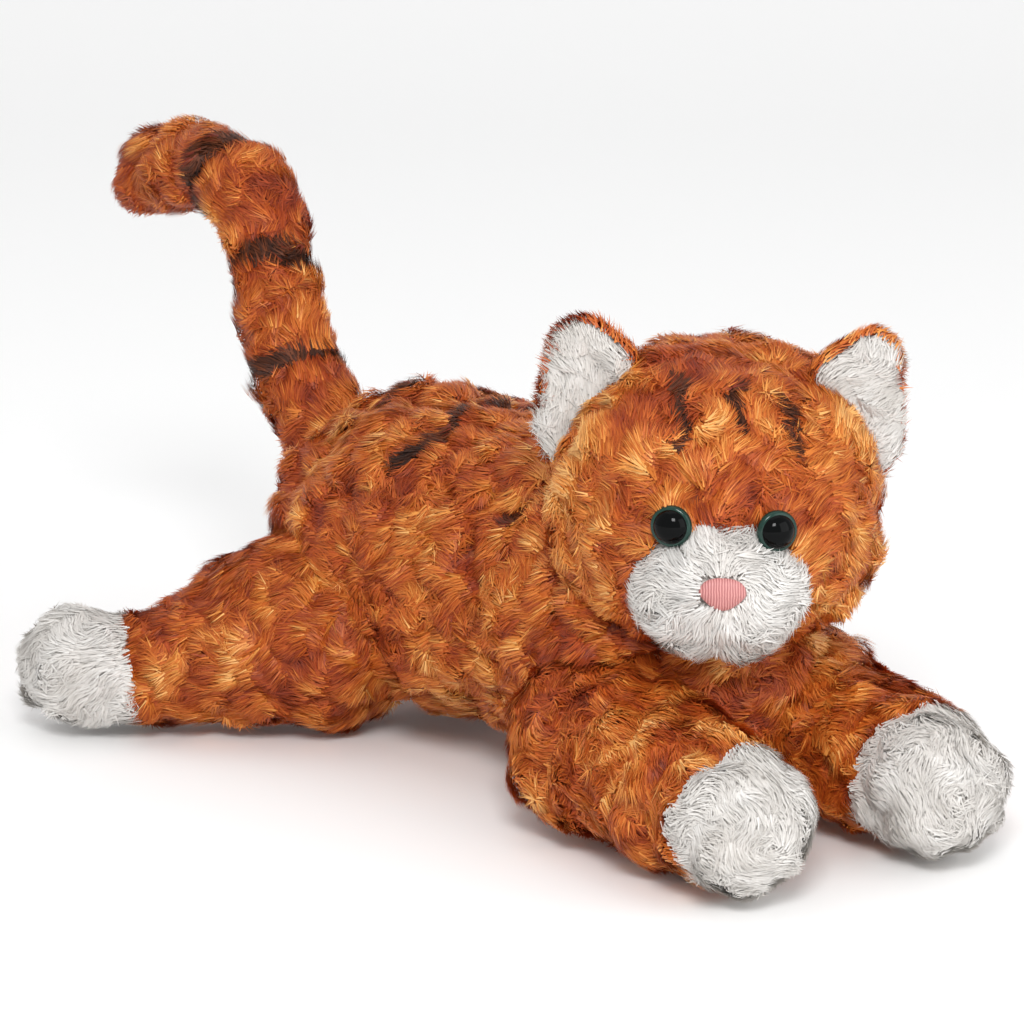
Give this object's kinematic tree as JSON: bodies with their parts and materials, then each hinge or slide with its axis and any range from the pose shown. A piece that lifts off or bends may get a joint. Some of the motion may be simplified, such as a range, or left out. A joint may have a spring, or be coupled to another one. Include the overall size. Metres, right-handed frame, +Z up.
{
  "type": "plush cat",
  "caption": "Sewn plush cat lying down, ginger tabby pile with white paws, muzzle and inner ears, head turned aside, tail up; jointed at neck, ears, legs and tail.",
  "frame": {"origin": "middle of the flattened patch under the chest, on the table", "axes": "+Z up, -Y the way the body points, +X the cat's left"},
  "size_m": [0.2304, 0.3845, 0.1736],
  "materials": {
    "ginger_plush": "short crushed pile, ginger with darker brown stripes",
    "white_plush": "short dense white pile",
    "filling": "loose polyester fibre",
    "seam_thread": "twisted polyester thread",
    "nose_thread": "satin stitched pink thread",
    "eye_iris": "dark green, polished",
    "eye_pupil": "black, polished dome",
    "washer_plastic": "moulded, matt"
  },
  "bodies": {
    "torso": {"torso_panel_left": "ginger_plush", "torso_panel_right": "ginger_plush", "torso_belly_panel": "ginger_plush", "torso_filling": "filling", "torso_closing_stitches": "seam_thread"},
    "neck": {"neck_seam_thread": "seam_thread"},
    "head": {"head_side_left": "ginger_plush", "head_side_right": "ginger_plush", "head_gusset": "ginger_plush", "muzzle_left": "white_plush", "muzzle_right": "white_plush", "nose": "nose_thread", "mouth_stitch": "nose_thread", "eye_iris_left": "eye_iris", "eye_pupil_left": "eye_pupil", "eye_washer_left": "washer_plastic", "eye_iris_right": "eye_iris", "eye_pupil_right": "eye_pupil", "eye_washer_right": "washer_plastic", "head_filling": "filling"},
    "ear_left": {"ear_front_left": "white_plush", "ear_back_left": "ginger_plush"},
    "ear_right": {"ear_front_right": "white_plush", "ear_back_right": "ginger_plush"},
    "tail_base": {"tail_seam_thread": "seam_thread"},
    "tail": {"tail_panel_left": "ginger_plush", "tail_panel_right": "ginger_plush", "tail_filling": "filling"},
    "front_leg_left": {"front_leg_left_outer_panel": "ginger_plush", "front_leg_left_inner_panel": "ginger_plush", "front_paw_left": "white_plush", "front_leg_left_filling": "filling"},
    "hind_leg_left": {"hind_leg_left_outer_panel": "ginger_plush", "hind_leg_left_inner_panel": "ginger_plush", "hind_paw_left": "white_plush", "hind_leg_left_filling": "filling"},
    "front_leg_right": {"front_leg_right_outer_panel": "ginger_plush", "front_leg_right_inner_panel": "ginger_plush", "front_paw_right": "white_plush", "front_leg_right_filling": "filling"},
    "hind_leg_right": {"hind_leg_right_outer_panel": "ginger_plush", "hind_leg_right_inner_panel": "ginger_plush", "hind_paw_right": "white_plush", "hind_leg_right_filling": "filling"}
  },
  "joints": [
    {"name": "head_turn", "type": "hinge", "parent": "torso", "child": "neck", "pos_m": [0, -0.0186, 0.0955], "axis": [0, -0.3397, 0.9405], "range_deg": [-20, 55], "stiffness_Nm_per_rad": 1.2},
    {"name": "head_nod", "type": "hinge", "parent": "neck", "child": "head", "pos_m": [0, -0.0186, 0.0955], "axis": [0.7975, -0.601, -0.0523], "range_deg": [-16, 5], "stiffness_Nm_per_rad": 1.2},
    {"name": "ear_fold_left", "type": "hinge", "parent": "head", "child": "ear_left", "pos_m": [0.03025, -0.04684, 0.12028], "axis": [-0.5454, 0.1177, 0.8299], "range_deg": [-15, 15], "stiffness_Nm_per_rad": 0.06},
    {"name": "front_leg_swing_left", "type": "hinge", "parent": "torso", "child": "front_leg_left", "pos_m": [0.034, -0.008, 0.027], "axis": [0, 0, 1], "range_deg": [-6, 30], "stiffness_Nm_per_rad": 0.8},
    {"name": "hind_leg_swing_left", "type": "hinge", "parent": "torso", "child": "hind_leg_left", "pos_m": [0.036, 0.122, 0.033], "axis": [0, 0, 1], "range_deg": [-35, 25], "stiffness_Nm_per_rad": 0.8},
    {"name": "ear_fold_right", "type": "hinge", "parent": "head", "child": "ear_right", "pos_m": [-0.03324, 0.001, 0.12445], "axis": [-0.3306, 0.5424, -0.7724], "range_deg": [-15, 15], "stiffness_Nm_per_rad": 0.06},
    {"name": "front_leg_swing_right", "type": "hinge", "parent": "torso", "child": "front_leg_right", "pos_m": [-0.034, -0.008, 0.027], "axis": [0, 0, -1], "range_deg": [-6, 30], "stiffness_Nm_per_rad": 0.8},
    {"name": "hind_leg_swing_right", "type": "hinge", "parent": "torso", "child": "hind_leg_right", "pos_m": [-0.036, 0.122, 0.033], "axis": [0, 0, -1], "range_deg": [-35, 25], "stiffness_Nm_per_rad": 0.8},
    {"name": "tail_wag", "type": "hinge", "parent": "torso", "child": "tail_base", "pos_m": [0, 0.156, 0.07], "axis": [0, 0.9537, 0.3006], "range_deg": [-25, 25], "stiffness_Nm_per_rad": 0.8},
    {"name": "tail_lift", "type": "hinge", "parent": "tail_base", "child": "tail", "pos_m": [0, 0.156, 0.07], "axis": [1, 0, 0], "range_deg": [-20, 9], "stiffness_Nm_per_rad": 0.8}
  ]
}
